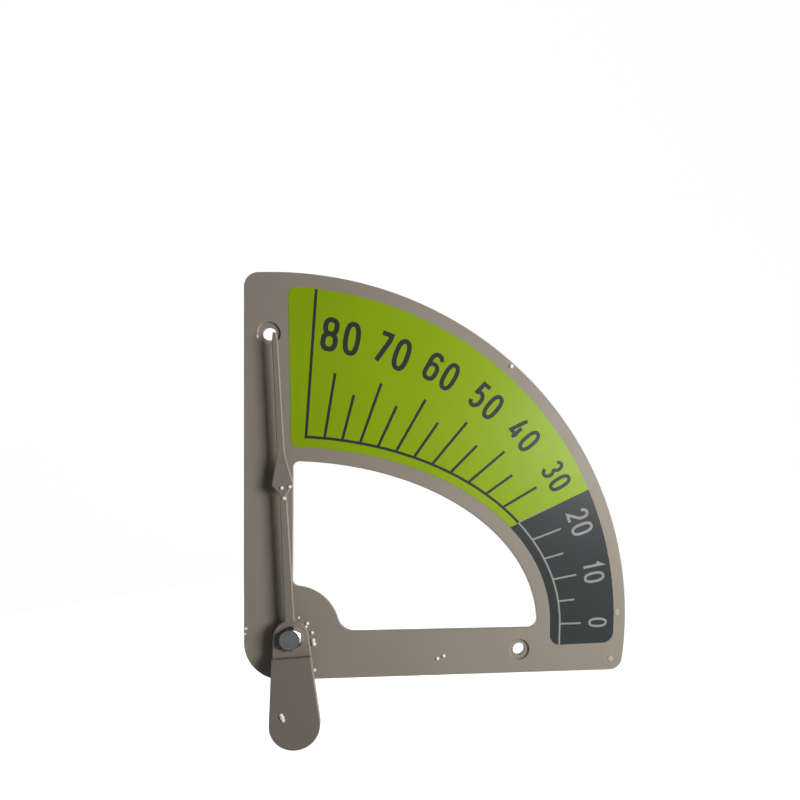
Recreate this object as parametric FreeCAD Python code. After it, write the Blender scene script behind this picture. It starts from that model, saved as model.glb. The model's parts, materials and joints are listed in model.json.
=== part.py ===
"""Crane-boom angle indicator: a steel quadrant with a stuck-on scale, and a
free-swinging pointer whose counterweight keeps it plumb while the boom tilts.

Frame: origin on the axis of the upper mounting hole, in the plane of the
plate's back face. +X runs right along the dial, +Z up, +Y back towards the
boom, so the dial faces -Y. All lengths in millimetres.
"""
import FreeCAD, Part
import math
import os

V = FreeCAD.Vector
BACKWARD = V(0, 1, 0)         # from the dial towards the boom
SAME_PLACE = 1e-3             # points nearer than this are one point

# ---------------------------------------------------------------- quadrant plate
scale_radius = 300.0          # outer edge, struck about the pivot
arm_width = 40.0              # steel left of the pivot
foot_width = 41.0             # steel below the pivot
plate_thickness = 4.0
plate_corner_r = 12.0         # the two far corners
plate_heel_r = 33.0           # corner nearest the pivot
plate_edge_break = 0.5        # ground edges, all round
window_reach = 216.0          # half axis of the window's curved side, along the lower arm
window_rise = 145.5           # half axis of the same curve, along the left arm
window_toe_r = 8.0            # corner at the far end of the lower arm
window_top_r = 5.0            # corner at the top of the left arm
lobe_radius = 40.0            # round of steel left about the pivot
lobe_foot_r = 15.0            # runs out into the lower arm
lobe_side_r = 6.0             # runs out into the left arm

# ---------------------------------------------------------------- mounting holes
upper_hole_rise = 250.0       # above the pivot
lower_hole_reach = 200.0      # right of the pivot
bolt_hole_d = 11.0            # clears an M10 fixing
screw_recess_d = 18.0         # hole in the plate, takes the fixing's round head
screw_recess_depth = 2.2      # down to the boss's spigot
boss_spigot_play = 0.05       # radial, spigot in the plate's hole
boss_d = 30.0
boss_floor = 2.0              # steel left behind the plate
boss_relief_d = 25.0          # hollow of the boss, open to the boom
boss_chamfer = 0.5
boss_weld_leg = 4.0
boom_clearance = 1.3          # end of the pivot bolt to the boom

# ---------------------------------------------------------------- scale label
decal_thickness = 0.25
decal_rim = 11.5              # bare steel outside the label
decal_inner_reach = 228.0     # half axes of the label's inner edge
decal_inner_rise = 157.0
decal_side_gap = 1.5          # label edge right of the pivot line
decal_foot = 21.5             # label edge below the pivot line
decal_outer_foot_r = 10.0
decal_inner_foot_r = 9.0
decal_top_r = 7.0
decal_skew = 1.25             # degrees that the hand-laid label is turned about the pivot

# ---------------------------------------------------------------- pivot fasteners (M10)
bolt_d = 10.0
hex_flats = 17.0
hex_face_d = 16.0             # flat circle left on the end of a hexagon
hex_chamfer_deg = 30.0
bolt_head_height = 6.4
nut_height = 5.0              # thin nut
bolt_projection = 2.5         # thread left past the nut
bolt_tip_chamfer = 1.0
flat_washer_d = 20.0
flat_washer_thickness = 2.0
spring_washer_d = 18.1
spring_washer_thickness = 2.2
spring_washer_slit = 1.6
bolt_play = 0.15              # radial, bolt in everything that it passes through

# ---------------------------------------------------------------- pivot bearing
bush_d = 14.0
bush_fit = 0.05               # radial running fit, pointer on bush
side_play = 0.15              # pointer to the washer behind and the head in front
thrust_washer_thickness = 1.0
thrust_washer_play = 0.2      # radial, washer round the bush
pivot_boss_d = 18.0
pivot_boss_weld_leg = 2.0

# ---------------------------------------------------------------- pointer and counterweight
rest_tilt = 3.2               # degrees, tip left of the pivot line
blade_thickness = 4.0
blade_edge_break = 0.6
pointer_length = 248.0        # pivot to tip
tip_width = 2.4
tip_r = 0.9
tip_length = 7.0              # the tip widens quickly to the needle
needle_top_width = 4.4
needle_foot = 152.0           # above the pivot; the barbs flare out from here
needle_foot_width = 5.8
needle_bend_r = 30.0          # eases both bends of the needle's sides
barb_width = 17.2
barb_height = 126.0           # widest place, above the pivot
barb_back = 7.5               # height of the shoulder under it
barb_r = 1.2
stem_top_width = 5.6
stem_foot_width = 7.4
neck_r = 3.0                  # where the stem meets the barbs and the head
pointer_head_r = 14.3
weight_r = 20.8
weight_drop = 73.0            # pivot to the centre of the round end
front_weight_top = 16.0       # straight top edge, below the pivot
front_weight_thickness = 4.5
rear_weight_top = 22.0
rear_weight_thickness = 6.0
rear_weight_inset = 4.0       # leaves room for its weld inside the outline
weight_swing_gap = 4.15       # back of the rear weight to the plate
weight_weld_leg = 3.0
side_weld_length = 26.0
plug_weld_d = 9.0
plug_weld_spacing = 28.0

# ---------------------------------------------------------------- worked-out places
hole_inset = arm_width / 2    # upper hole left of the pivot line, lower hole below it
upper_hole = V(0, 0, 0)
pivot = V(hole_inset, 0, -upper_hole_rise)
lower_hole = V(pivot.x + lower_hole_reach, 0, pivot.z - hole_inset)
bore_r = bolt_d / 2 + bolt_play
plate_back = 0.0
plate_front = plate_back - plate_thickness
recess_floor = plate_front + screw_recess_depth
boss_floor_back = plate_back + boss_floor
blade_back = plate_front - weight_swing_gap - rear_weight_thickness
blade_front = blade_back - blade_thickness
thrust_washer_front = blade_back + side_play
pivot_boss_front = thrust_washer_front + thrust_washer_thickness
head_seat = blade_front - side_play
flat_washer_back = plate_back + flat_washer_thickness
spring_washer_back = flat_washer_back + spring_washer_thickness
nut_back = spring_washer_back + nut_height
bolt_tip = nut_back + bolt_projection
boom_face = bolt_tip + boom_clearance


# ---------------------------------------------------------------- drawing tools
def rod(radius, front, back, centre):
    """Solid cylinder along Y between two Y places."""
    return Part.makeCylinder(radius, back - front, V(centre.x, front, centre.z), BACKWARD)


def tube(outer_r, inner_r, front, back, centre):
    return rod(outer_r, front, back, centre).cut(rod(inner_r, front, back, centre))


def line(a, b):
    return Part.LineSegment(V(a[0], 0, a[1]), V(b[0], 0, b[1])).toShape()


def arc(radius, centre, start_deg, end_deg):
    """Arc in the XZ plane, by three points; angles anticlockwise from +X."""
    angles = [math.radians(a) for a in (start_deg, (start_deg + end_deg) / 2, end_deg)]
    points = [V(centre[0] + radius * math.cos(a), 0, centre[1] + radius * math.sin(a)) for a in angles]
    return Part.Arc(*points).toShape()


def oval_arc(reach, rise, end_deg):
    """Ellipse about the pivot with half axes along X and Z, from +X round to an angle."""
    if reach > rise:
        oval = Part.Ellipse(V(reach, 0, 0), V(0, 0, rise), V(0, 0, 0))
        start, end = 0, math.radians(end_deg)
    else:
        oval = Part.Ellipse(V(0, 0, rise), V(-reach, 0, 0), V(0, 0, 0))
        start, end = -math.pi / 2, math.radians(end_deg) - math.pi / 2
    return Part.ArcOfEllipse(oval, start, end).toShape()


def extrude(edges, front, back):
    """Prism from a closed loop of edges drawn in the XZ plane about the pivot."""
    face = Part.Face(Part.Wire(Part.__sortEdges__(edges)))
    face.translate(V(pivot.x, front, pivot.z))
    return face.extrude(BACKWARD * (back - front))


def polygon(points, front, back):
    return extrude([line(a, b) for a, b in zip(points, points[1:] + points[:1])], front, back)


def below(top, front, back):
    """Block of everything under a level line, given below the pivot."""
    left, right, bottom = -scale_radius, scale_radius, -top - scale_radius
    return polygon([(left, -top), (right, -top), (right, bottom), (left, bottom)], front, back)


def round_corner(solid, place, radius):
    """Round the edge along Y that stands at a place given from the pivot."""
    x, z = pivot.x + place[0], pivot.z + place[1]
    upright = [e for e in solid.Edges if e.BoundBox.XLength + e.BoundBox.ZLength < SAME_PLACE]
    nearest = min(upright, key=lambda e: math.hypot(e.BoundBox.Center.x - x, e.BoundBox.Center.z - z))
    return solid.makeFillet(radius, [nearest])


def outline_edges(solid, level):
    """Edges of the flat face at one Y place."""
    face = min(solid.Faces, key=lambda f: abs(f.CenterOfMass.y - level) + f.BoundBox.YLength)
    return face.Edges


def break_edges(solid, size, levels):
    """Chamfer the whole outline of the flat faces at the given Y places."""
    edges = [e for level in levels for e in outline_edges(solid, level)]
    return solid.makeChamfer(size, edges)


def hexagon(front, back):
    """Hexagonal prism on the pivot axis, a corner pointing up."""
    corner_r = hex_flats / math.sqrt(3)
    turns = [math.radians(a) for a in range(0, 360, 60)]
    return polygon([(corner_r * math.sin(a), corner_r * math.cos(a)) for a in turns], front, back)


def hexagon_chamfer(flat_y, inward):
    """Cone that turns off the corners at one end of a hexagon."""
    face_r = hex_face_d / 2
    far_r = face_r + hex_flats / math.tan(math.radians(hex_chamfer_deg))
    return Part.makeCone(face_r, far_r, hex_flats, V(pivot.x, flat_y, pivot.z), BACKWARD * inward)


def weld_section(root, outward, upward, leg):
    """Mitre section of a fillet weld: two equal legs and a sloping face."""
    return Part.Face(Part.makePolygon([root, root + outward * leg, root + upward * leg, root]))


def ring_weld(radius, leg, corner_y, upward, centre):
    """Weld run all round a boss, in its corner with a flat face."""
    root = V(centre.x + radius, corner_y, centre.z)
    return weld_section(root, V(1, 0, 0), BACKWARD * upward, leg).revolve(centre, BACKWARD, 360)


# ---------------------------------------------------------------- fixed pieces
def quadrant_plate():
    head = (-arm_width, math.sqrt(scale_radius ** 2 - arm_width ** 2))
    heel = (-arm_width, -foot_width)
    toe = (math.sqrt(scale_radius ** 2 - foot_width ** 2), -foot_width)
    toe_deg = math.degrees(math.asin(foot_width / scale_radius))
    head_deg = 90 + math.degrees(math.asin(arm_width / scale_radius))
    rim = arc(scale_radius, (0, 0), -toe_deg, head_deg)
    plate = extrude([rim, line(head, heel), line(heel, toe)], plate_front, plate_back)
    for corner, radius in ((head, plate_corner_r), (toe, plate_corner_r), (heel, plate_heel_r)):
        plate = round_corner(plate, corner, radius)
    plate = break_edges(plate.cut(plate_window()), plate_edge_break, (plate_front, plate_back))
    plate = plate.cut(rod(bore_r, plate_front, plate_back, pivot))
    for centre in (upper_hole, lower_hole):
        plate = plate.cut(screw_recess(centre))
    return plate


def screw_recess(centre):
    """Hole right through the plate, its front edge broken like the outline."""
    hole_r = screw_recess_d / 2
    mouth = V(centre.x, plate_front, centre.z)
    rim = Part.makeCone(hole_r + plate_edge_break, hole_r, plate_edge_break, mouth, BACKWARD)
    return rod(hole_r, plate_front, plate_back, centre).fuse(rim)


def plate_window():
    outline = [oval_arc(window_reach, window_rise, 90),
               line((0, window_rise), (0, lobe_radius)),
               arc(lobe_radius, (0, 0), 90, 0),
               line((lobe_radius, 0), (window_reach, 0))]
    window = extrude(outline, plate_front, plate_back)
    window = round_corner(window, (window_reach, 0), window_toe_r)
    window = round_corner(window, (0, window_rise), window_top_r)
    window = round_corner(window, (lobe_radius, 0), lobe_foot_r)
    return round_corner(window, (0, lobe_radius), lobe_side_r)


def scale_decal():
    outer_r = scale_radius - decal_rim
    side_top = math.sqrt(outer_r ** 2 - decal_side_gap ** 2)
    side_low = decal_inner_rise * math.sqrt(1 - (decal_side_gap / decal_inner_reach) ** 2)
    foot_end = math.sqrt(outer_r ** 2 - decal_foot ** 2)
    outer_start = -math.degrees(math.asin(decal_foot / outer_r))
    outer_end = math.degrees(math.acos(decal_side_gap / outer_r))
    inner_end = math.degrees(math.acos(decal_side_gap / decal_inner_reach))
    outline = [arc(outer_r, (0, 0), outer_start, outer_end),
               line((decal_side_gap, side_top), (decal_side_gap, side_low)),
               oval_arc(decal_inner_reach, decal_inner_rise, inner_end),
               line((decal_inner_reach, 0), (decal_inner_reach, -decal_foot)),
               line((decal_inner_reach, -decal_foot), (foot_end, -decal_foot))]
    decal = extrude(outline, plate_front - decal_thickness, plate_front)
    decal = round_corner(decal, (foot_end, -decal_foot), decal_outer_foot_r)
    decal = round_corner(decal, (decal_inner_reach, -decal_foot), decal_inner_foot_r)
    decal = round_corner(decal, (decal_side_gap, side_top), decal_top_r)
    decal = round_corner(decal, (decal_side_gap, side_low), decal_top_r)
    decal.rotate(pivot, BACKWARD, -decal_skew)
    return decal


def mounting_boss(centre):
    """Turned cup: a spigot centres it in the plate's hole, its rim stands on the boom."""
    cup = break_edges(rod(boss_d / 2, plate_back, boom_face, centre), boss_chamfer, (boom_face,))
    spigot = rod(screw_recess_d / 2 - boss_spigot_play, recess_floor, plate_back, centre)
    relief = rod(boss_relief_d / 2, boss_floor_back, boom_face, centre)
    return cup.fuse(spigot).cut(relief).cut(rod(bolt_hole_d / 2, recess_floor, boom_face, centre))


def boss_weld(centre):
    return ring_weld(boss_d / 2, boss_weld_leg, plate_back, 1, centre)


def pivot_boss():
    return tube(pivot_boss_d / 2, bore_r, pivot_boss_front, plate_front, pivot)


def pivot_boss_weld():
    return ring_weld(pivot_boss_d / 2, pivot_boss_weld_leg, plate_front, -1, pivot)


def thrust_washer():
    inner_r = bush_d / 2 + thrust_washer_play
    return tube(pivot_boss_d / 2, inner_r, thrust_washer_front, pivot_boss_front, pivot)


def pivot_bush():
    """Sleeve clamped between the bolt's head and the boss; the pointer turns on it."""
    return tube(bush_d / 2, bore_r, head_seat, pivot_boss_front, pivot)


def pivot_bolt():
    head_front = head_seat - bolt_head_height
    head = hexagon(head_front, head_seat).common(hexagon_chamfer(head_front, 1))
    shank = break_edges(rod(bolt_d / 2, head_seat, bolt_tip, pivot), bolt_tip_chamfer, (bolt_tip,))
    return head.fuse(shank).removeSplitter()


def flat_washer():
    return tube(flat_washer_d / 2, bore_r, plate_back, flat_washer_back, pivot)


def spring_washer():
    """Split ring, closed flat by the nut; its ends are cut on the slant."""
    ring = tube(spring_washer_d / 2, bore_r, flat_washer_back, spring_washer_back, pivot)
    lean = spring_washer_thickness
    corners = [V(-lean, flat_washer_back, 0), V(spring_washer_slit - lean, flat_washer_back, 0),
               V(spring_washer_slit, spring_washer_back, 0), V(0, spring_washer_back, 0)]
    slit = Part.Face(Part.makePolygon(corners + corners[:1])).extrude(V(0, 0, spring_washer_d))
    slit.translate(pivot)
    return ring.cut(slit)


def pivot_nut():
    nut = hexagon(spring_washer_back, nut_back)
    nut = nut.common(hexagon_chamfer(spring_washer_back, 1)).common(hexagon_chamfer(nut_back, -1))
    return nut.cut(rod(bore_r, spring_washer_back, nut_back, pivot))


# ---------------------------------------------------------------- moving pieces
def side_lean():
    """Angle by which the counterweight's straight sides lean out, in degrees."""
    return math.degrees(math.asin((weight_r - pointer_head_r) / weight_drop))


def weight_outline(inset):
    """Head and end rounds joined by straight sides that touch both, drawn this far inside."""
    head_r, end_r = pointer_head_r - inset, weight_r - inset
    lean = side_lean()
    top = arc(head_r, (0, 0), lean, 180 - lean)
    end = arc(end_r, (0, -weight_drop), lean, -180 - lean)
    ends = [(edge.valueAt(edge.FirstParameter), edge.valueAt(edge.LastParameter)) for edge in (top, end)]
    sides = [line((a.x, a.z), (b.x, b.z)) for a, b in zip(*ends)]
    return [top, end] + sides


def pointer_blade():
    """One flat blank: needle, barbs, stem, round head and the tongue under the weights."""
    body = extrude(weight_outline(0), blade_front, blade_back)
    foot = math.sqrt(pointer_head_r ** 2 - (stem_foot_width / 2) ** 2)
    right_side = [(tip_width / 2, pointer_length), (needle_top_width / 2, pointer_length - tip_length),
                  (needle_foot_width / 2, needle_foot), (barb_width / 2, barb_height),
                  (stem_top_width / 2, barb_height - barb_back), (stem_foot_width / 2, foot),
                  (stem_foot_width / 2, 0)]
    corner_radii = (tip_r, needle_bend_r, needle_bend_r, barb_r, neck_r, neck_r)
    left_side = [(-x, z) for x, z in reversed(right_side)]
    stem = polygon(right_side + left_side, blade_front, blade_back)
    blade = body.fuse(stem).removeSplitter()
    for (x, z), radius in zip(right_side, corner_radii):
        blade = round_corner(round_corner(blade, (x, z), radius), (-x, z), radius)
    blade = break_edges(blade, blade_edge_break, (blade_front, blade_back))
    blade = blade.cut(rod(bush_d / 2 + bush_fit, blade_front, blade_back, pivot))
    for centre in plug_centres():
        blade = blade.cut(rod(plug_weld_d / 2, blade_front, blade_back, centre))
    return blade


def weight_slab(inset, top, front, back):
    """Counterweight plate: the lower part of the outline, under a straight top edge."""
    return extrude(weight_outline(inset), front, back).common(below(top, front, back))


def front_weight():
    front = blade_front - front_weight_thickness
    slab = weight_slab(0, front_weight_top, front, blade_front)
    return break_edges(slab, blade_edge_break, (front, blade_front))


def rear_weight():
    back = blade_back + rear_weight_thickness
    slab = weight_slab(rear_weight_inset, rear_weight_top, blade_back, back)
    return break_edges(slab, blade_edge_break, (back,))


def plug_centres():
    middle = pivot.z - (front_weight_top + weight_drop) / 2
    return [V(pivot.x, 0, middle + step * plug_weld_spacing / 2) for step in (-1, 1)]


def front_weight_plug_welds():
    """Weld run into two holes of the blade, before the rear weight covers them."""
    return Part.makeCompound([rod(plug_weld_d / 2, blade_front, blade_back, c) for c in plug_centres()])


def rear_weight_welds():
    """A bead round the end of the rear weight and a stitch along each straight side."""
    end_centre = V(pivot.x, 0, pivot.z - weight_drop)
    end_r = weight_r - rear_weight_inset
    back = blade_back + weight_weld_leg
    ring = ring_weld(end_r, weight_weld_leg, blade_back, 1, end_centre)
    beads = [ring.common(below(weight_drop, blade_back, back))]
    lean = math.radians(side_lean())
    for side in (-1, 1):
        outward = V(side * math.cos(lean), 0, math.sin(lean))
        along = V(-side * math.sin(lean), 0, math.cos(lean))
        start = V(end_centre.x, blade_back, end_centre.z) + outward * end_r + along * weight_weld_leg
        stitch = weld_section(start, outward, BACKWARD, weight_weld_leg)
        beads.append(stitch.extrude(along * side_weld_length))
    return Part.makeCompound(beads)


fixed_pieces = {
    "quadrant_plate": quadrant_plate(),
    "scale_decal": scale_decal(),
    "upper_mounting_boss": mounting_boss(upper_hole),
    "lower_mounting_boss": mounting_boss(lower_hole),
    "upper_boss_weld": boss_weld(upper_hole),
    "lower_boss_weld": boss_weld(lower_hole),
    "pivot_boss": pivot_boss(),
    "pivot_boss_weld": pivot_boss_weld(),
    "thrust_washer": thrust_washer(),
    "pivot_bush": pivot_bush(),
    "pivot_bolt": pivot_bolt(),
    "pivot_flat_washer": flat_washer(),
    "pivot_spring_washer": spring_washer(),
    "pivot_nut": pivot_nut(),
}
moving_pieces = {
    "pointer_blade": pointer_blade(),
    "front_weight": front_weight(),
    "rear_weight": rear_weight(),
    "front_weight_plug_welds": front_weight_plug_welds(),
    "rear_weight_welds": rear_weight_welds(),
}
for piece in moving_pieces.values():
    piece.rotate(pivot, BACKWARD, -rest_tilt)

os.makedirs("parts", exist_ok=True)
for name, piece in {**fixed_pieces, **moving_pieces}.items():
    piece.exportStep("parts/" + name + ".step")
    state = "valid" if piece.isValid() else "NOT VALID"
    print(name, len(piece.Solids), "solids", state, round(piece.Volume), "mm3")
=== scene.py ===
"""Looks of a crane-boom angle indicator: painted quadrant, printed scale, free-swinging weighted pointer.

Metres, in the frame of the CAD model: X right along the dial, Z up, Y back to the boom, dial facing -Y.
"""
import json
import math

import bmesh
import bpy
from mathutils import Euler, Matrix, Vector


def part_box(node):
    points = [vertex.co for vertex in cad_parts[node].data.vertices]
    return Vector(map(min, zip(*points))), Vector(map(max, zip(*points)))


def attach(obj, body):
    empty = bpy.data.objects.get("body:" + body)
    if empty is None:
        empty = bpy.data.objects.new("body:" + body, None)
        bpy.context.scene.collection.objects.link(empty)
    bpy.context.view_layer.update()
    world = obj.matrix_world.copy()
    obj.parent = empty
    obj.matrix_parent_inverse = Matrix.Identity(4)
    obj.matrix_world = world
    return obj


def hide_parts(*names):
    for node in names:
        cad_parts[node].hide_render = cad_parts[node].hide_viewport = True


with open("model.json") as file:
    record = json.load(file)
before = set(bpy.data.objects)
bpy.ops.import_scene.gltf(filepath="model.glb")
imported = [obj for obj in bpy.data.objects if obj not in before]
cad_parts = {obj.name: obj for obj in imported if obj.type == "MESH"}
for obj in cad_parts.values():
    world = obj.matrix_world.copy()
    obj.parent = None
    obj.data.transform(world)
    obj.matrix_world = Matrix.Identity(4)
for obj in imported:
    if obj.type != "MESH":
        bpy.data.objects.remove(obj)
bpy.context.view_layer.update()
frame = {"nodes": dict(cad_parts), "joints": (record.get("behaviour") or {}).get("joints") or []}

# ---------------------------------------------------------------- quadrant plate
# The carrier of everything else: 4 mm steel plate, cut out, deburred and sprayed on all sides with one
# coat of satin enamel, a warm taupe grey. Faces that look left or right get paler paint, a painted
# highlight.
MM = 0.001
cad = frame["nodes"]
taupe, paint_dust = (0.236, 0.206, 0.170), (0.42, 0.39, 0.35, 1.0)
nib_tint, nib_height = 0.4, 0.12 * MM
# Painted highlight on sideways faces: from one share of facing sideways, full at the next, paler by the
# gain.
side_lit_from, side_lit_to, side_lit_gain = 0.3, 0.9, 1.85


def add_node(tree, kind, inputs=(), **settings):
    """Adds a shader node; an input is given a value, or the output that it is linked to."""
    made = tree.nodes.new("ShaderNode" + kind)
    for name, value in settings.items():
        setattr(made, name, value)
    for name, value in dict(inputs).items():
        if isinstance(value, bpy.types.NodeSocket):
            tree.links.new(value, made.inputs[name])
        else:
            made.inputs[name].default_value = value
    return made


def calculate(tree, operation, first, second):
    return add_node(tree, "Math", {0: first, 1: second}, operation=operation).outputs[0]


def vector_math(tree, operation, *inputs, gives="Vector"):
    """A sum on vectors; a dot product and a length give a Value."""
    return add_node(tree, "VectorMath", enumerate(inputs), operation=operation).outputs[gives]


def ramp(tree, value, start, end, low=0.0, high=1.0):
    """A number that goes from low to high as a value goes from start to end."""
    return add_node(tree, "MapRange", {0: value, 1: start, 2: end, 3: low, 4: high}).outputs[0]


def mix_colours(tree, factor, under, over):
    """Colour that goes from one to the other with a factor from 0 to 1."""
    return add_node(tree, "Mix", {0: factor, 6: under, 7: over}, data_type="RGBA").outputs[2]


def shade(tree, colour, factor):
    """A colour made lighter or darker by a factor that changes over the surface."""
    return add_node(tree, "VectorMath", {0: colour, "Scale": factor}, operation="SCALE").outputs[0]


def start_group(name, inputs, output):
    """A node group with number inputs (and their usual values) and one named output."""
    group = bpy.data.node_groups.new(name, "ShaderNodeTree")
    for socket, usual in inputs.items():
        made = group.interface.new_socket(socket, in_out="INPUT", socket_type="NodeSocketFloat")
        made.default_value = usual
    group.interface.new_socket(output, in_out="OUTPUT", socket_type="NodeSocketFloat")
    given = group.nodes.new("NodeGroupInput").outputs
    result = group.nodes.new("NodeGroupOutput").inputs[0]
    place = add_node(group, "TexCoord").outputs["Object"]
    return group, given, result, place


def make_patches():
    """Soft patches: a value that wanders about 1, by an amount, over patches of a size in metres."""
    full_swing = 4.0  # the noise seldom leaves its middle by more than a quarter
    group, given, result, place = start_group("soft_patches", {"Size": 0.03, "Amount": 0.05}, "Value")
    scale = calculate(group, "DIVIDE", 1.0, given["Size"])
    noise = add_node(group, "TexNoise", {"Vector": place, "Scale": scale, "Detail": 3.0})
    swing = calculate(group, "SUBTRACT", noise.outputs[0], 0.5)
    swing = calculate(group, "MULTIPLY", swing, given["Amount"])
    swing = calculate(group, "MULTIPLY", swing, full_swing)
    group.links.new(calculate(group, "ADD", swing, 1.0), result)
    return group


def make_grain():
    """Fine grain: a height in metres, for the peel of sprayed paint or the bite of bare metal."""
    group, given, result, place = start_group("fine_grain", {"Size": 0.002, "Depth": 0.00001}, "Height")
    scale = calculate(group, "DIVIDE", 1.0, given["Size"])
    noise = add_node(group, "TexNoise", {"Vector": place, "Scale": scale, "Detail": 2.0})
    group.links.new(calculate(group, "MULTIPLY", noise.outputs[0], given["Depth"]), result)
    return group


def make_specks():
    """Specks: 1 inside small round dots set at random, 0 outside; some places are left without one."""
    usual = {"Spacing": 0.02, "Radius": 0.0004, "Share": 0.5}
    group, given, result, place = start_group("specks", usual, "Mask")
    scale = calculate(group, "DIVIDE", 1.0, given["Spacing"])
    cells = add_node(group, "TexVoronoi", {"Vector": place, "Scale": scale})
    reach = calculate(group, "MULTIPLY", given["Radius"], scale)
    near = ramp(group, cells.outputs["Distance"], reach, 0.0)
    chance = add_node(group, "SeparateColor", {0: cells.outputs["Color"]}).outputs[0]
    kept = calculate(group, "LESS_THAN", chance, given["Share"])
    group.links.new(calculate(group, "MULTIPLY", near, kept), result)
    return group


patches, grain, specks = make_patches(), make_grain(), make_specks()


def effect(tree, group, **values):
    """Places one of the shared effects and gives its output."""
    made = add_node(tree, "Group", node_tree=group)
    for name, value in values.items():
        made.inputs[name].default_value = value
    return made.outputs[0]


def uneven(tree, usual, size, amount):
    """A value that wanders about its usual one, by a share of it, over patches of a size in metres."""
    return calculate(tree, "MULTIPLY", effect(tree, patches, Size=size, Amount=amount), usual)


def start_finish(name, **uniform):
    """A new material with one Principled shader; what is the same all over is set on its sockets."""
    finish = bpy.data.materials.new(name)
    finish.use_nodes = True
    tree = finish.node_tree
    tree.nodes.clear()
    surface = add_node(tree, "BsdfPrincipled")
    for socket, value in uniform.items():
        surface.inputs[socket.replace("_", " ")].default_value = value
    add_node(tree, "OutputMaterial", {"Surface": surface.outputs[0]})
    return finish, tree, surface


def finish_surface(tree, surface, colour, roughness, height):
    """Links the parts of a finish that change over the surface."""
    tree.links.new(colour, surface.inputs["Base Color"])
    tree.links.new(roughness, surface.inputs["Roughness"])
    bump = add_node(tree, "Bump", {"Height": height, "Distance": 1.0, "Strength": 1.0})
    tree.links.new(bump.outputs[0], surface.inputs["Normal"])


def give_finish(finish, *names):
    """Paints CAD nodes."""
    for name in names:
        cad[name].material_slots[0].material = finish


def rub_sides(tree, tone):
    """Paints a highlight: paint is paler where it faces left or right, as where light rakes across it."""
    outward = add_node(tree, "TexCoord").outputs["Normal"]
    across = vector_math(tree, "DOT_PRODUCT", outward, (1.0, 0.0, 0.0), gives="Value")
    sideways = calculate(tree, "ABSOLUTE", across, 0.0)
    return calculate(tree, "MULTIPLY", tone, ramp(tree, sideways, side_lit_from, side_lit_to, 1.0, side_lit_gain))


def make_enamel(name, depth, lit_sides_paler):
    """Satin taupe paint with a few nibs of dust; a depth scales its colour, under 1 as painted shade, over 1
    as painted glow.
    """
    finish, tree, surface = start_finish(name, Specular_IOR_Level=0.1)
    tone = uneven(tree, effect(tree, patches, Size=0.004, Amount=0.012), size=0.09, amount=0.035)
    if lit_sides_paler:
        tone = rub_sides(tree, tone)
    coat = shade(tree, [part * depth for part in taupe], tone)
    nibs = effect(tree, specks, Spacing=0.012, Radius=0.0004, Share=0.35)
    colour = mix_colours(tree, calculate(tree, "MULTIPLY", nibs, nib_tint), coat, paint_dust)
    peel = calculate(tree, "ADD", effect(tree, grain, Size=0.0016, Depth=0.000035),
                     calculate(tree, "MULTIPLY", nibs, nib_height))
    finish_surface(tree, surface, colour, uneven(tree, 0.44, size=0.025, amount=0.12), peel)
    return finish


give_finish(make_enamel("plate_enamel", 1.0, True), "quadrant_plate")

# ---------------------------------------------------------------- mounting bosses and their welds
# Two turned steel cups hold the plate off the boom. A spigot centres each in its hole in the plate, and
# one weld bead, run all the way round on the back, holds it; the bead's ripples show through the paint.
merge_distance = 0.01 * MM
# Rounding of a bead's section, the foot that stays flat and the height of a ripple, in legs of the bead.
bead_rounding, bead_profile, bead_foot, ripple_height = 0.96, 0.36, 0.05, 0.06
# Length of a ripple, the share of it that is raised, and how far its ends lag behind its middle.
ripple_length, ripple_crest, ripple_lag = 2.2 * MM, 0.4, 0.8
rings_per_ripple = 4


def select_only(piece):
    bpy.ops.object.select_all(action="DESELECT")
    piece.select_set(True)
    bpy.context.view_layer.objects.active = piece


def settle(piece):
    """Puts a piece's place, turn and scale into its mesh and leaves its object at the origin."""
    select_only(piece)
    bpy.ops.object.transform_apply(location=True, rotation=True, scale=True)


def start_piece(name, primitive, **size):
    """Adds a primitive as a new piece and opens it for shaping."""
    bpy.ops.object.select_all(action="DESELECT")
    primitive(**size)
    piece = bpy.context.object
    piece.name = piece.data.name = name
    settle(piece)
    bpy.ops.object.mode_set(mode="EDIT")
    return piece


def pick(piece, wanted):
    """In edit mode, selects the vertices whose place passes a test."""
    bpy.ops.mesh.select_mode(type="VERT")
    bpy.ops.mesh.select_all(action="DESELECT")
    mesh = bmesh.from_edit_mesh(piece.data)
    for vertex in mesh.verts:
        vertex.select = wanted(vertex.co)
    mesh.select_flush(True)
    bmesh.update_edit_mesh(piece.data)


def turn_outward():
    """In edit mode, makes all the faces of a piece look outward."""
    bpy.ops.mesh.select_all(action="SELECT")
    bpy.ops.mesh.normals_make_consistent(inside=False)


def close_up(piece, finish, body, *replaced, slot="painted_steel", smooth_deg=40):
    """Ends a piece: seams and normals, shading, finish, and the body that it rides on."""
    select_only(piece)
    bpy.ops.object.mode_set(mode="EDIT")
    bpy.ops.mesh.select_all(action="SELECT")
    bpy.ops.mesh.remove_doubles(threshold=merge_distance)
    turn_outward()
    bpy.ops.object.mode_set(mode="OBJECT")
    bpy.ops.object.shade_smooth_by_angle(angle=math.radians(smooth_deg))
    piece.data.materials.clear()
    piece.data.materials.append(finish)
    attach(piece, body)
    if replaced:
        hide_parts(*replaced)


def weld_section(name, root, along_y, leg):
    """Section of a fillet bead right of its root: a square with its outer corner well rounded off."""
    slant = Vector((1, along_y, 0)) * leg
    piece = start_piece(name, bpy.ops.mesh.primitive_plane_add, size=leg, location=root + slant / 2)
    pick(piece, lambda co: (co - root - slant).length < leg / 10)
    bpy.ops.mesh.bevel(affect="VERTICES", offset=leg * bead_rounding, segments=6, profile=bead_profile)
    bpy.ops.mesh.select_all(action="SELECT")
    bpy.ops.mesh.delete(type="ONLY_FACE")
    bpy.ops.mesh.select_all(action="SELECT")
    return piece


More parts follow.
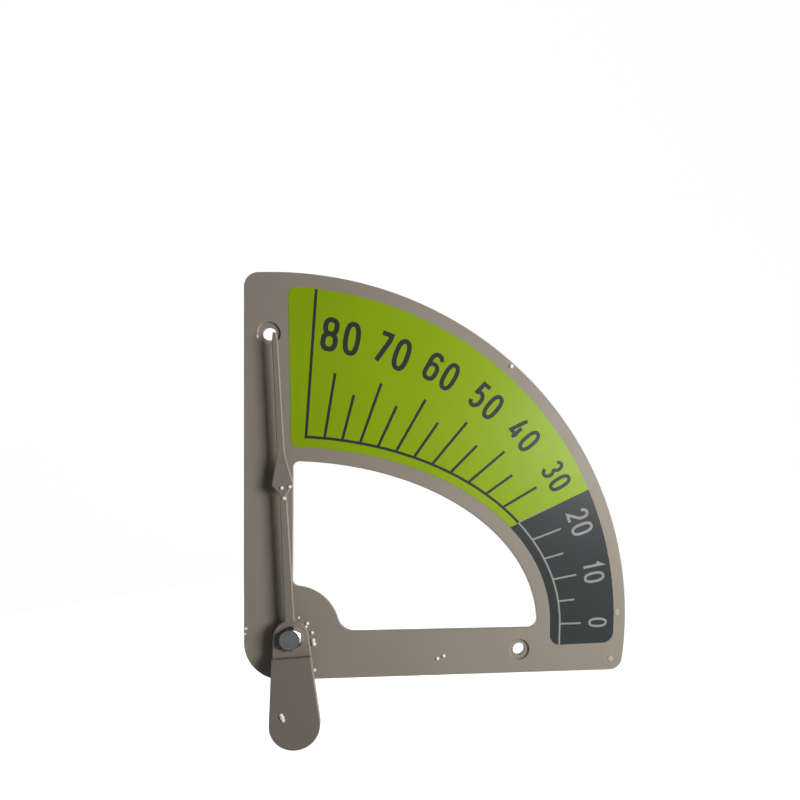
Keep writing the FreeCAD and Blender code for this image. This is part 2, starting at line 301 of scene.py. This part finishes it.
def raise_ripples(piece, leg, measure):
    """Ends a bead with its freeze lines; measure gives a place's depth from both walls and its ripple."""
    def on_crest(co):
        from_wall, from_face, ripple = measure(co)
        lag = ripple_lag * (from_wall - from_face) ** 2 / leg ** 2
        return min(from_wall, from_face) > leg * bead_foot and (ripple + lag) % 1 < ripple_crest

    pick(piece, on_crest)
    bpy.ops.transform.shrink_fatten(value=ripple_height * leg)
    bpy.ops.object.mode_set(mode="OBJECT")


def ring_bead(name, node_name, faces_back):
    """Weld bead all round a boss, from the size of its CAD node."""
    low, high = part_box(node_name)
    leg = high.y - low.y
    centre = (low + high) / 2
    boss_radius = (high.x - low.x) / 2 - leg
    corner_y = low.y if faces_back else high.y
    root = Vector((centre.x + boss_radius, corner_y, centre.z))
    bead = weld_section(name, root, 1 if faces_back else -1, leg)
    ripples = round(2 * math.pi * (boss_radius + leg / 2) / ripple_length)
    bpy.ops.mesh.spin(steps=ripples * rings_per_ripple, angle=2 * math.pi, center=centre, axis=(0, 1, 0))
    bpy.ops.mesh.select_all(action="SELECT")
    bpy.ops.mesh.remove_doubles(threshold=merge_distance)
    turn_outward()

    def from_boss(co):
        turn = math.atan2(co.z - centre.z, co.x - centre.x) / (2 * math.pi)
        outward = math.hypot(co.x - centre.x, co.z - centre.z) - boss_radius
        return outward, abs(co.y - corner_y), turn * ripples

    raise_ripples(bead, leg, from_boss)
    close_up(bead, enamel, "quadrant", node_name)


enamel = make_enamel("taupe_enamel", 1.0, False)
give_finish(enamel, "upper_mounting_boss", "lower_mounting_boss")
ring_bead("upper_boss_bead", "upper_boss_weld", True)
ring_bead("lower_boss_bead", "lower_boss_weld", True)

# ---------------------------------------------------------------- scale label
# Printed vinyl film stuck on the plate by hand, a little out of true. Its ground is yellow
# green over the working range and dark grey below it; the two meet on a straight line.
pivot = Vector(frame["joints"][0]["pos_m"])
film_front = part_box("scale_decal")[0].y
label_skew = math.radians(0.72)
colour_change = math.radians(25)
film_green, film_grey = (0.200, 0.308, 0.004, 1.0), (0.027, 0.031, 0.031, 1.0)
film_dust, dust_tint = (0.5, 0.5, 0.47, 1.0), 0.35


def make_film():
    """Satin vinyl, green above the line of the colour change and grey below it, with specks of dust."""
    finish, tree, surface = start_finish("printed_film", Specular_IOR_Level=0.1)
    place = add_node(tree, "TexCoord").outputs["Object"]
    from_pivot = vector_math(tree, "SUBTRACT", place, pivot)
    turn = colour_change + label_skew
    square_to_line = (-math.sin(turn), 0.0, math.cos(turn))
    above_line = vector_math(tree, "DOT_PRODUCT", from_pivot, square_to_line, gives="Value")
    working = calculate(tree, "GREATER_THAN", above_line, 0.0)
    ground = mix_colours(tree, working, film_grey, film_green)
    tone = uneven(tree, effect(tree, patches, Size=0.0012, Amount=0.015), size=0.05, amount=0.02)
    dust = effect(tree, specks, Spacing=0.009, Radius=0.00022, Share=0.3)
    film = shade(tree, ground, tone)
    colour = mix_colours(tree, calculate(tree, "MULTIPLY", dust, dust_tint), film, film_dust)
    height = calculate(tree, "ADD", effect(tree, grain, Size=0.0025, Depth=0.00002),
                       effect(tree, grain, Size=0.014, Depth=0.00004))
    finish_surface(tree, surface, colour, uneven(tree, 0.36, size=0.018, amount=0.1), height)
    return finish


give_finish(make_film(), "scale_decal")

# ---------------------------------------------------------------- scale lines
# Screen-printed on the film: a long curved base line, a mark every five degrees, longer at the tens,
# and a full line at 85 degrees where the scale ends. Charcoal on the green, pale grey on the grey.
# Half width and half height, in millimetres, of the ovals that the marks start on and end on.
base_oval, ten_oval, five_oval = (236.9, 165.9), (256.9, 221.3), (251.8, 205.9)
angle_stretch = 1.0063  # the printed degrees are a little wide
end_angle, end_reach = 85.2, 288.0
foot_drop, foot_lean = 19.1, 0.2  # the base line runs on below zero, almost straight down
dark_line, light_line, meeting_line = 2.35, 1.6, 0.96
ink_thickness, ink_merge = 0.012, 0.0001


def on_oval(oval, degrees):
    """Place on an oval about the pivot, in the direction of an angle of the scale."""
    turn = math.radians(degrees * angle_stretch)
    reach = 1 / math.hypot(math.cos(turn) / oval[0], math.sin(turn) / oval[1])
    return Vector((reach * math.cos(turn), reach * math.sin(turn)))


def start_print(name):
    """An empty drawing in millimetres, whose strokes get the flat section of a layer of ink."""
    section = bpy.data.curves.new(name + "_section", "CURVE")
    edge = section.splines.new("POLY")
    edge.points.add(3)
    corners = [(-0.5, 0.0), (0.5, 0.0), (0.5, ink_thickness), (-0.5, ink_thickness)]
    for point, corner in zip(edge.points, corners):
        point.co = (*corner, 0.0, 1.0)
    edge.use_cyclic_u = True
    drawing = bpy.data.curves.new(name, "CURVE")
    drawing.dimensions = "2D"
    drawing.bevel_mode = "OBJECT"
    drawing.bevel_object = bpy.data.objects.new(section.name, section)
    drawing.use_fill_caps = True
    return drawing


def stroke(drawing, path, width, closed=False):
    """One stroke of ink of an even width along a path."""
    line = drawing.splines.new("POLY")
    line.points.add(len(path) - 1)
    for point, place in zip(line.points, path):
        point.co = (*place, 0.0, 1.0)
        point.radius = width
    line.use_cyclic_u = closed


def lay_print(drawing, ink):
    """Makes a drawing a mesh, turns it as the label is turned and lays it on the film."""
    piece = bpy.data.objects.new(drawing.name, drawing)
    bpy.context.scene.collection.objects.link(piece)
    select_only(piece)
    bpy.ops.object.convert(target="MESH")
    bpy.ops.object.mode_set(mode="EDIT")
    bpy.ops.mesh.select_all(action="SELECT")
    bpy.ops.mesh.remove_doubles(threshold=ink_merge)
    turn_outward()
    bpy.ops.mesh.intersect_boolean(operation="UNION", use_self=True, solver="EXACT")
    bpy.ops.object.mode_set(mode="OBJECT")
    stand_up = Matrix.Rotation(math.radians(90), 4, "X") @ Matrix.Scale(MM, 4)
    on_film = Matrix.Translation((pivot.x, film_front, pivot.z))
    piece.matrix_world = on_film @ Matrix.Rotation(-label_skew, 4, "Y") @ stand_up
    settle(piece)
    close_up(piece, ink, "quadrant", slot="printed_film", smooth_deg=30)
    bpy.data.objects.remove(drawing.bevel_object)


def make_ink(name, tint):
    """Thin even ink, a little duller than the film."""
    finish, tree, surface = start_finish(name, Specular_IOR_Level=0.1)
    colour = shade(tree, tint, effect(tree, patches, Size=0.002, Amount=0.04))
    height = effect(tree, grain, Size=0.0008, Depth=0.000006)
    finish_surface(tree, surface, colour, uneven(tree, 0.4, size=0.01, amount=0.08), height)
    return finish


def draw_marks(drawing, angles, width):
    """Marks at the given angles, from the base line outward."""
    for angle in angles:
        end_oval = five_oval if angle % 10 == 5 else ten_oval
        stroke(drawing, [on_oval(base_oval, angle), on_oval(end_oval, angle)], width)


dark_ink = make_ink("charcoal_ink", (0.021, 0.028, 0.024))
light_ink = make_ink("pale_ink", (0.23, 0.23, 0.21))

dark_lines = start_print("scale_lines_dark")
draw_marks(dark_lines, range(30, 85, 5), dark_line)
dark_base = [on_oval(base_oval, angle) for angle in [*range(25, 85), end_angle]]
scale_end = on_oval((end_reach, end_reach), end_angle)
stroke(dark_lines, dark_base + [scale_end], dark_line)
lay_print(dark_lines, dark_ink)

light_lines = start_print("scale_lines_light")
draw_marks(light_lines, range(0, 25, 5), light_line)
stroke(light_lines, [on_oval(base_oval, 25), on_oval(ten_oval, 25)], meeting_line)
foot = Vector((base_oval[0] - foot_lean, -foot_drop))
light_base = [on_oval(base_oval, angle) for angle in range(0, 26)]
stroke(light_lines, [foot] + light_base, light_line)
lay_print(light_lines, light_ink)

# ---------------------------------------------------------------- scale numerals
# Plain block numerals from 0 to 80, printed with the lines. Each stands on its mark's radius, and
# they grow with the angle, so that the top of the scale reads from the ground. None is set quite true.
numeral_oval = (272.5, 251.7)
# Height of each number, and how far it is set to the right of its place and outward, in millimetres.
numeral_setting = {
    0: (17.7, -0.2, 0.5), 10: (19.7, 0.8, 0.2), 20: (20.8, 0.8, 0.6),
    30: (21.9, 0.8, 0.2), 40: (23.2, 0.0, 0.0), 50: (24.5, 1.4, -0.6),
    60: (25.5, 0.0, -0.1), 70: (27.9, 0.1, -0.6), 80: (28.4, -0.1, 0.6),
}
# Width of each digit, width of a stroke and gap between digits, as shares of the height.
digit_width = {"0": 0.50, "1": 0.34, "2": 0.45, "3": 0.46, "4": 0.48, "5": 0.475, "6": 0.505, "7": 0.435,
               "8": 0.50}
dark_weight, light_weight, digit_gap = 0.146, 0.12, 0.14
ring_points = 32


def bow(centre, radii, start_deg, end_deg, steps=20, squareness=1.0):
    """Points along part of an oval; squareness under 1 fills out its shoulders."""
    points = []
    for step in range(steps + 1):
        turn = math.radians(start_deg + (end_deg - start_deg) * step / steps)
        across = math.copysign(abs(math.cos(turn)) ** squareness, math.cos(turn))
        up = math.copysign(abs(math.sin(turn)) ** squareness, math.sin(turn))
        points.append((centre[0] + radii[0] * across, centre[1] + radii[1] * up))
    return points


def ring(centre, radii):
    """A closed oval with full shoulders."""
    return bow(centre, radii, 0, 360 - 360 / ring_points, ring_points - 1, squareness=0.8), True


# Middle lines of the digits in a box one wide and one high, and whether each line is closed.
digit_lines = {
    "0": [ring((0.5, 0.5), (0.5, 0.5))],
    "1": [([(0.0, 0.74), (0.62, 1.0), (0.62, 0.0)], False)],
    "2": [(bow((0.5, 0.70), (0.5, 0.30), 175, -28, squareness=0.9) + [(0.0, 0.0), (1.0, 0.0)], False)],
    "3": [(bow((0.45, 0.76), (0.45, 0.24), 160, -90), False),
          (bow((0.45, 0.26), (0.55, 0.26), 90, -160), False)],
    "4": [([(0.52, 1.0), (0.0, 0.19), (1.0, 0.19)], False),
          ([(0.72, 0.58), (0.72, 0.0)], False)],
    "5": [([(0.92, 1.0), (0.12, 1.0), (0.04, 0.55)] + bow((0.46, 0.31), (0.54, 0.31), 128, -150), False)],
    "6": [ring((0.5, 0.30), (0.5, 0.30)),
          ([(0.0, 0.30)] + bow((0.5, 0.70), (0.5, 0.30), 180, 22, squareness=0.85), False)],
    "7": [([(0.0, 1.0), (1.0, 1.0), (0.97, 0.80), (0.28, 0.0)], False)],
    "8": [ring((0.5, 0.76), (0.46, 0.24)), ring((0.5, 0.26), (0.5, 0.26))],
}


def draw_number(drawing, number, weight):
    """A number on its radius, its foot towards the pivot."""
    height, set_right, set_outward = numeral_setting[number]
    line, gap = weight * height, digit_gap * height
    widths = [digit_width[digit] * height for digit in str(number)]
    turn = math.radians(number * angle_stretch)
    right, up = Vector((math.sin(turn), -math.cos(turn))), Vector((math.cos(turn), math.sin(turn)))
    middle = on_oval(numeral_oval, number) + right * set_right + up * set_outward
    left_end = -(sum(widths) + gap * (len(widths) - 1)) / 2
    for digit, width in zip(str(number), widths):
        for path, closed in digit_lines[digit]:
            placed = [middle + right * (left_end + line / 2 + x * (width - line))
                      + up * ((y - 0.5) * (height - line)) for x, y in path]
            stroke(drawing, placed, line, closed)
        left_end += width + gap


dark_numerals = start_print("scale_numerals_dark")
for number in range(30, 90, 10):
    draw_number(dark_numerals, number, dark_weight)
lay_print(dark_numerals, dark_ink)

light_numerals = start_print("scale_numerals_light")
for number in range(0, 30, 10):
    draw_number(light_numerals, number, light_weight)
lay_print(light_numerals, light_ink)

# ---------------------------------------------------------------- pivot bearing
# A steel boss welded to the plate's face holds the pointer clear of it. On the boss lie a nylon
# thrust washer and an oil-filled bronze bush, which the pointer turns on.
nylon_cream = (0.80, 0.77, 0.70)
bronze, bronze_pores = (0.52, 0.34, 0.17), (0.09, 0.06, 0.04, 1.0)
pore_tint, pore_depth = 0.7, 0.06 * MM


def make_nylon():
    """Natural nylon, which lets a little light in."""
    finish, tree, surface = start_finish("white_nylon", Subsurface_Weight=0.1, Subsurface_Scale=0.001)
    colour = shade(tree, nylon_cream, effect(tree, patches, Size=0.006, Amount=0.04))
    height = effect(tree, grain, Size=0.0006, Depth=0.00001)
    finish_surface(tree, surface, colour, uneven(tree, 0.42, size=0.004, amount=0.1), height)
    return finish


def make_bronze():
    """Bronze pressed from powder, with dark open pores."""
    finish, tree, surface = start_finish("sintered_bronze", Metallic=1.0)
    pores = effect(tree, specks, Spacing=0.0007, Radius=0.0002, Share=0.7)
    metal = shade(tree, bronze, effect(tree, patches, Size=0.003, Amount=0.08))
    colour = mix_colours(tree, calculate(tree, "MULTIPLY", pores, pore_tint), metal, bronze_pores)
    height = calculate(tree, "MULTIPLY", pores, -pore_depth)
    finish_surface(tree, surface, colour, uneven(tree, 0.45, size=0.002, amount=0.15), height)
    return finish


give_finish(enamel, "pivot_boss")
ring_bead("pivot_boss_bead", "pivot_boss_weld", False)
give_finish(make_nylon(), "thrust_washer")
give_finish(make_bronze(), "pivot_bush")

# ---------------------------------------------------------------- pivot bolt, washers and nut
# An M10 bolt, with a flat washer, a split spring washer and a nut behind the plate, clamps the bush.
# All are zinc plated and left bare; their blue-grey is darkened, a painted dark reflection. The bolt's
# head is flecked; its turned corners carry painted shade, and a painted glint where they face right and up.
bolt_radius, root_radius = 5.0 * MM, 4.08 * MM
pitch, crest_share = 1.5 * MM, 0.12
thread_merge = 0.002 * MM
tip_chamfer = 1.0 * MM
# The zinc grey is darker than bare zinc: a painted dark reflection.
zinc_painted_dark, fleck_grey, fleck_tint = (0.094, 0.100, 0.101), (0.32, 0.34, 0.34, 1.0), 0.8
# Corner colours of the bolt head: painted shade and a painted glint.
corner_painted_shade, corner_painted_glint = (0.022, 0.024, 0.025, 1.0), (0.85, 0.87, 0.88, 1.0)
# The corners start between two distances from the axis. Their painted glint falls where they face one
# direction, right and somewhat up, by more than a share; elsewhere they are painted shade.
corner_inside, corner_outside = 8.0 * MM, 8.3 * MM
glint_direction = math.radians(28)
glint_from, glint_to = 0.72, 0.80


def wear_head(tree, zinc):
    """Colour of the head: flecked zinc, with corners in painted shade and a painted glint on one side."""
    place = add_node(tree, "TexCoord").outputs["Object"]
    from_pivot = vector_math(tree, "SUBTRACT", place, (pivot.x, 0.0, pivot.z))
    from_axis = vector_math(tree, "MULTIPLY", from_pivot, (1.0, 0.0, 1.0))
    reach = vector_math(tree, "LENGTH", from_axis, gives="Value")
    corner = ramp(tree, reach, corner_inside, corner_outside)
    glint_side = (math.cos(glint_direction), 0.0, math.sin(glint_direction))
    outward = vector_math(tree, "NORMALIZE", from_axis)
    facing = vector_math(tree, "DOT_PRODUCT", outward, glint_side, gives="Value")
    corner_shade_and_glint = mix_colours(tree, ramp(tree, facing, glint_from, glint_to), corner_painted_shade, corner_painted_glint)
    flecks = effect(tree, specks, Spacing=0.0016, Radius=0.0005, Share=0.5)
    flecked = mix_colours(tree, calculate(tree, "MULTIPLY", flecks, fleck_tint), zinc, fleck_grey)
    return mix_colours(tree, corner, flecked, corner_shade_and_glint)


def make_zinc(name, shade_and_glint_on_head):
    """Dull mottled zinc on cold-formed steel, its colour darkened as a painted dark reflection."""
    finish, tree, surface = start_finish(name, Metallic=1.0)
    mottle = uneven(tree, effect(tree, patches, Size=0.005, Amount=0.12), size=0.0008, amount=0.22)
    colour = shade(tree, zinc_painted_dark, mottle)
    if shade_and_glint_on_head:
        colour = wear_head(tree, colour)
    height = effect(tree, grain, Size=0.0007, Depth=0.00002)
    finish_surface(tree, surface, colour, uneven(tree, 0.34, size=0.0015, amount=0.15), height)
    return finish


def roll_thread(start, tip):
    """Thread from one place to another: one turn of its outline, wound up the axis and cut at both ends."""
    side = pitch / 2
    thread = start_piece("pivot_bolt_threaded", bpy.ops.mesh.primitive_plane_add, size=pitch,
                         location=(root_radius + side, start - side, 0))
    bpy.ops.mesh.delete(type="ONLY_FACE")
    pick(thread, lambda co: co.x < root_radius + side)
    bpy.ops.mesh.delete(type="EDGE")
    pick(thread, lambda co: co.x > root_radius + side)
    bpy.ops.transform.translate(value=(bolt_radius - root_radius - pitch, 0, 0))
    bpy.ops.transform.resize(value=(1, crest_share, 1), center_override=(bolt_radius, start - side, 0))
    bpy.ops.object.mode_set(mode="OBJECT")
    winding = thread.modifiers.new("winding", "SCREW")
    winding.axis, winding.screw_offset = "Y", pitch
    winding.iterations = math.ceil((tip - start) / pitch) + 2
    winding.steps = winding.render_steps = 32
    winding.use_merge_vertices = True
    bpy.ops.object.modifier_apply(modifier="winding")
    bpy.ops.object.mode_set(mode="EDIT")
    for end, outward in ((start, -1), (tip, 1)):
        bpy.ops.mesh.select_all(action="SELECT")
        bpy.ops.mesh.remove_doubles(threshold=thread_merge)
        bpy.ops.mesh.bisect(plane_co=(0, end, 0), plane_no=(0, outward, 0), use_fill=True, clear_outer=True)
    turn_outward()
    bpy.ops.object.mode_set(mode="OBJECT")
    return thread


def turned_blank(start, tip):
    """Plain rod as long as the thread, chamfered at its tip."""
    blank = start_piece("blank", bpy.ops.mesh.primitive_cylinder_add, vertices=64, radius=bolt_radius,
                        depth=tip - start, location=(0, (start + tip) / 2, 0), rotation=(math.pi / 2, 0, 0))
    pick(blank, lambda co: co.y > tip - tip_chamfer / 10)
    bpy.ops.mesh.bevel(offset=tip_chamfer, segments=1)
    bpy.ops.object.mode_set(mode="OBJECT")
    return blank


def copy_piece(piece, name, place=(0, 0, 0), scale=(1, 1, 1)):
    """A copy with its own mesh, scaled and then moved."""
    twin = piece.copy()
    twin.data = piece.data.copy()
    twin.name = twin.data.name = name
    bpy.context.scene.collection.objects.link(twin)
    twin.location, twin.scale = place, scale
    settle(twin)
    return twin


def head_and_shank(end):
    """The CAD bolt as far as a place, cut off there and closed."""
    head = copy_piece(cad["pivot_bolt"], "pivot_bolt_head")
    bpy.ops.mesh.customdata_custom_splitnormals_clear()
    bpy.ops.object.mode_set(mode="EDIT")
    bpy.ops.mesh.select_all(action="SELECT")
    bpy.ops.mesh.remove_doubles(threshold=merge_distance)
    bpy.ops.mesh.bisect(plane_co=(0, end, 0), plane_no=(0, 1, 0), use_fill=True, clear_outer=True)
    bpy.ops.object.mode_set(mode="OBJECT")
    return head


def join_pieces(first, *others):
    """Makes several pieces one, under the first one's name."""
    select_only(first)
    for other in others:
        other.select_set(True)
    bpy.ops.object.join()


def make_bolt(finish):
    """Head and shank from the solid, with a rolled thread in place of the plain end."""
    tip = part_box("pivot_bolt")[1].y
    thread_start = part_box("quadrant_plate")[1].y
    bolt = roll_thread(thread_start, tip)
    blank = turned_blank(thread_start, tip)
    select_only(bolt)
    trim = bolt.modifiers.new("trim", "BOOLEAN")
    trim.operation, trim.object = "INTERSECT", blank
    bpy.ops.object.modifier_apply(modifier="trim")
    bpy.data.objects.remove(blank)
    bolt.location = (pivot.x, 0, pivot.z)
    settle(bolt)
    join_pieces(bolt, head_and_shank(thread_start))
    close_up(bolt, finish, "quadrant", "pivot_bolt", slot="zinc_plated_steel", smooth_deg=28)


make_bolt(make_zinc("zinc_with_painted_glint", True))
give_finish(make_zinc("zinc_plate", False), "pivot_flat_washer", "pivot_spring_washer", "pivot_nut")

# ---------------------------------------------------------------- pointer and counterweights
# The blade is one flat steel blank. A thick weight is plug welded to its front, and a smaller one is
# welded on behind by a bead round its end and a stitch up each side. Blade and weights get darker
# copies of the plate's enamel; the darkening is painted shade.
rest_tilt = math.radians(3.2)
# The middle of the rear weight's round end lies below the pivot; its sides lean in towards the top.
weight_drop, weight_end_radius = 73.0 * MM, 16.8 * MM
weight_lean = math.radians(5.1)
stitch_start, stitch_length = 3.0 * MM, 26.0 * MM
# Darker copies of the enamel for the blade, the weights and their welds: painted shade.
blade_painted_shade, weight_painted_shade = 0.80, 0.66


def close_ends(bead):
    """Fills the open ends of a bead and turns its faces outward."""
    bpy.ops.mesh.select_all(action="DESELECT")
    bpy.ops.mesh.select_non_manifold()
    bpy.ops.mesh.edge_face_add()
    turn_outward()


def end_bead(name, leg, face):
    """Bead round the lower half of the rear weight's end, about the middle of that end."""
    bead = weld_section(name, Vector((weight_end_radius, face, 0)), 1, leg)
    ripples = round(math.pi * (weight_end_radius + leg / 2) / ripple_length)
    bpy.ops.mesh.spin(steps=ripples * rings_per_ripple, angle=math.pi, center=(0, 0, 0), axis=(0, 1, 0))
    close_ends(bead)

    def from_end(co):
        turn = math.atan2(co.z, co.x) / math.pi
        return math.hypot(co.x, co.z) - weight_end_radius, co.y - face, turn * ripples

    raise_ripples(bead, leg, from_end)
    return bead


def side_stitches(leg, face):
    """Straight beads up both sides of the rear weight; the left one is a mirrored copy of the right."""
    right = weld_section("right_stitch", Vector((weight_end_radius, face, stitch_start)), 1, leg)
    steps = round(stitch_length / ripple_length) * rings_per_ripple
    for _ in range(steps):
        bpy.ops.mesh.extrude_region_move(TRANSFORM_OT_translate={"value": (0, 0, stitch_length / steps)})
    close_ends(right)
    raise_ripples(right, leg, lambda co: (co.x - weight_end_radius, co.y - face, co.z / ripple_length))
    right.rotation_euler.y = -weight_lean
    settle(right)
    return right, copy_piece(right, "left_stitch", scale=(-1, 1, 1))


def weld_rear_weight(finish):
    """The rear weight's three beads, made about its round end and hung from the pivot as the pointer is."""
    low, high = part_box("rear_weight_welds")
    leg, face = high.y - low.y, low.y
    beads = end_bead("rear_weight_beads", leg, face)
    join_pieces(beads, *side_stitches(leg, face))
    hang = Matrix.Rotation(-rest_tilt, 4, "Y") @ Matrix.Translation((0, 0, -weight_drop))
    beads.matrix_world = Matrix.Translation((pivot.x, 0, pivot.z)) @ hang
    settle(beads)
    close_up(beads, finish, "pointer", "rear_weight_welds")


give_finish(make_enamel("blade_enamel", blade_painted_shade, True), "pointer_blade")
give_finish(make_enamel("weight_enamel", weight_painted_shade, True), "front_weight", "rear_weight")
weld_enamel = make_enamel("weld_enamel", weight_painted_shade, False)
give_finish(weld_enamel, "front_weight_plug_welds")
weld_rear_weight(weld_enamel)

# ---------------------------------------------------------------- weld spatter
# Drops of metal thrown out as the boss and the weights were welded. They froze on the plate, the blade
# and the front weight. Their pale paint is a painted highlight where light catches them; three flat ones
# on the rim get a paler enamel, a painted glow.
# Each drop is given by its place right of the pivot and above it, and its radius, in millimetres.
plate_spatter = [(4.9, 12.8, 1.2), (12.2, 7.6, 1.7), (11.0, 4.6, 1.5), (16.3, -0.5, 1.6), (17.3, -7.0, 1.9),
                 (17.9, -10.2, 2.1), (18.5, -33.0, 1.6), (-38.4, 4.2, 1.4), (-38.9, -0.4, 0.9),
                 (125.2, -25.9, 1.7), (130.7, -23.7, 1.7), (185.3, 231.6, 2.1), (-29.3, 246.3, 1.1),
                 (-29.4, 247.5, 0.9)]
painted_spatter = [(291.5, 12.0, 2.3), (291.4, 14.2, 1.8), (286.9, -30.4, 2.8)]
blade_spatter = [(-7.6, 123.4, 1.6), (-1.2, 124.6, 1.5), (-5.8, 115.2, 1.6)]
weight_spatter = [(-6.7, -62.9, 1.7), (-5.9, -64.9, 1.9), (-5.0, -67.3, 1.6)]
# Shape of a drop, in radii: how far it stands out of the face, its height up the face, its middle.
full_stand, flat_stand = 0.85, 0.14
drop_height, drop_middle = 0.94, (0, -0.1, 0)
# Pale colour of the drops: a painted highlight.
highlight_pale = (0.72, 0.66, 0.62)


def make_rubbed_paint():
    """Pale paint for the drops, a painted highlight."""
    finish, tree, surface = start_finish("pale_highlight_paint", Specular_IOR_Level=0.5)
    colour = shade(tree, highlight_pale, effect(tree, patches, Size=0.0008, Amount=0.12))
    height = effect(tree, grain, Size=0.0005, Depth=0.00002)
    finish_surface(tree, surface, colour, uneven(tree, 0.35, size=0.0006, amount=0.15), height)
    return finish


def throw_spatter(name, drops, node_name, body, finish, stand=full_stand):
    """Copies of one flattened drop, its foot cut off, on the front face of a CAD node."""
    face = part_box(node_name)[0].y
    drop = start_piece("drop", bpy.ops.mesh.primitive_ico_sphere_add, subdivisions=3, radius=1,
                       location=drop_middle)
    bpy.ops.transform.resize(value=(1.0, stand, drop_height), center_override=drop_middle)
    bpy.ops.mesh.bisect(plane_co=(0, 0, 0), plane_no=(0, 1, 0), use_fill=True, clear_outer=True)
    bpy.ops.object.mode_set(mode="OBJECT")
    beads = []
    for right, up, radius in drops:
        place = (pivot.x + right * MM, face, pivot.z + up * MM)
        beads.append(copy_piece(drop, name, place, scale=[radius * MM] * 3))
    bpy.data.objects.remove(drop)
    join_pieces(*beads)
    close_up(beads[0], finish, body)


pale_highlight_paint = make_rubbed_paint()
# Paler enamel for the three flat drops on the rim: a painted glow.
glow_enamel = make_enamel("glow_enamel", 1.45, False)
throw_spatter("plate_spatter", plate_spatter, "quadrant_plate", "quadrant", pale_highlight_paint)
throw_spatter("painted_spatter", painted_spatter, "quadrant_plate", "quadrant", glow_enamel, flat_stand)
throw_spatter("blade_spatter", blade_spatter, "pointer_blade", "pointer", pale_highlight_paint)
throw_spatter("weight_spatter", weight_spatter, "front_weight", "pointer", pale_highlight_paint)

# ---------------------------------------------------------------- studio
# Pale floor that sweeps up into a backdrop. The key lamp, a soft box near the right of the dial, throws
# the pointer's shadow; a second one rakes over from further right, and a broad one behind lights the back.
floor_level, floor_size = -0.56, 16.0
wall_place, wall_height, sweep_radius = 3.0, 8.0, 1.0
paper_grey, paper_glow, room_light = 0.4, 0.97, 0.02


def seen_white(tree):
    """1 for what the eye, polished metal and glass see, 0 for what lights the object."""
    rays = add_node(tree, "LightPath").outputs
    seen = calculate(tree, "MAXIMUM", rays["Is Camera Ray"], rays["Is Glossy Ray"])
    return calculate(tree, "MAXIMUM", seen, rays["Is Transmission Ray"])


def make_paper():
    """White paper that keeps a faint shadow."""
    finish = bpy.data.materials.new("studio_paper")
    finish.use_nodes = True
    tree = finish.node_tree
    tree.nodes.clear()
    matt = add_node(tree, "BsdfDiffuse", {"Color": (paper_grey, paper_grey, paper_grey, 1.0)})
    brightness = calculate(tree, "MULTIPLY", seen_white(tree), paper_glow)
    glow = add_node(tree, "Emission", {"Strength": brightness})
    both = add_node(tree, "AddShader", {0: matt.outputs[0], 1: glow.outputs[0]})
    add_node(tree, "OutputMaterial", {"Surface": both.outputs[0]})
    return finish


backdrop = start_piece("studio_backdrop", bpy.ops.mesh.primitive_plane_add, size=floor_size,
                       location=(0.1, wall_place - floor_size / 2, floor_level))
pick(backdrop, lambda co: co.y > wall_place - 0.1)
bpy.ops.mesh.extrude_region_move(TRANSFORM_OT_translate={"value": (0, 0, wall_height)})
pick(backdrop, lambda co: co.y > wall_place - 0.1 and co.z < floor_level + 0.1)
bpy.ops.mesh.bevel(offset=sweep_radius, segments=16)
bpy.ops.object.mode_set(mode="OBJECT")
bpy.ops.object.shade_smooth()
backdrop.data.materials.append(make_paper())

scene = bpy.context.scene
scene.view_settings.view_transform = "Standard"
scene.world = bpy.data.worlds.new("studio")
scene.world.use_nodes = True
room = scene.world.node_tree
white_room = room.nodes["Background"]
white_room.inputs["Color"].default_value = (1.0, 1.0, 1.0, 1.0)
room.links.new(calculate(room, "MAXIMUM", seen_white(room), room_light), white_room.inputs["Strength"])


def add_lamp(name, place, aim, width, height, watts):
    """Soft box at a place, turned to face a point."""
    lamp = bpy.data.lights.new(name, "AREA")
    lamp.shape = "RECTANGLE"
    lamp.size, lamp.size_y, lamp.energy = width, height, watts
    stand = bpy.data.objects.new(name, lamp)
    stand.location = place
    stand.rotation_euler = (Vector(aim) - Vector(place)).to_track_quat("-Z", "Y").to_euler()
    scene.collection.objects.link(stand)


dial_middle, pointer_middle = (0.13, 0.0, -0.12), (0.20, 0.0, -0.10)
add_lamp("key", (0.60, -0.63, -0.02), pointer_middle, width=0.30, height=0.26, watts=7.4)
add_lamp("raking", (1.7, -1.1, 0.0), dial_middle, width=0.35, height=0.45, watts=5.0)
add_lamp("back_fill", (-0.7, 0.9, 0.4), dial_middle, width=1.0, height=1.0, watts=24.0)

camera = bpy.data.cameras.new("camera")
camera.sensor_width, camera.lens = 36.0, 23.68
camera.shift_x, camera.shift_y = -0.0260, 0.1219
eye = bpy.data.objects.new("camera", camera)
eye.location = (0.0703, -0.4547, -0.1099)
eye.rotation_euler = Euler([math.radians(angle) for angle in (86.987, -1.014, -7.233)], "XYZ")
scene.collection.objects.link(eye)
scene.camera = eye
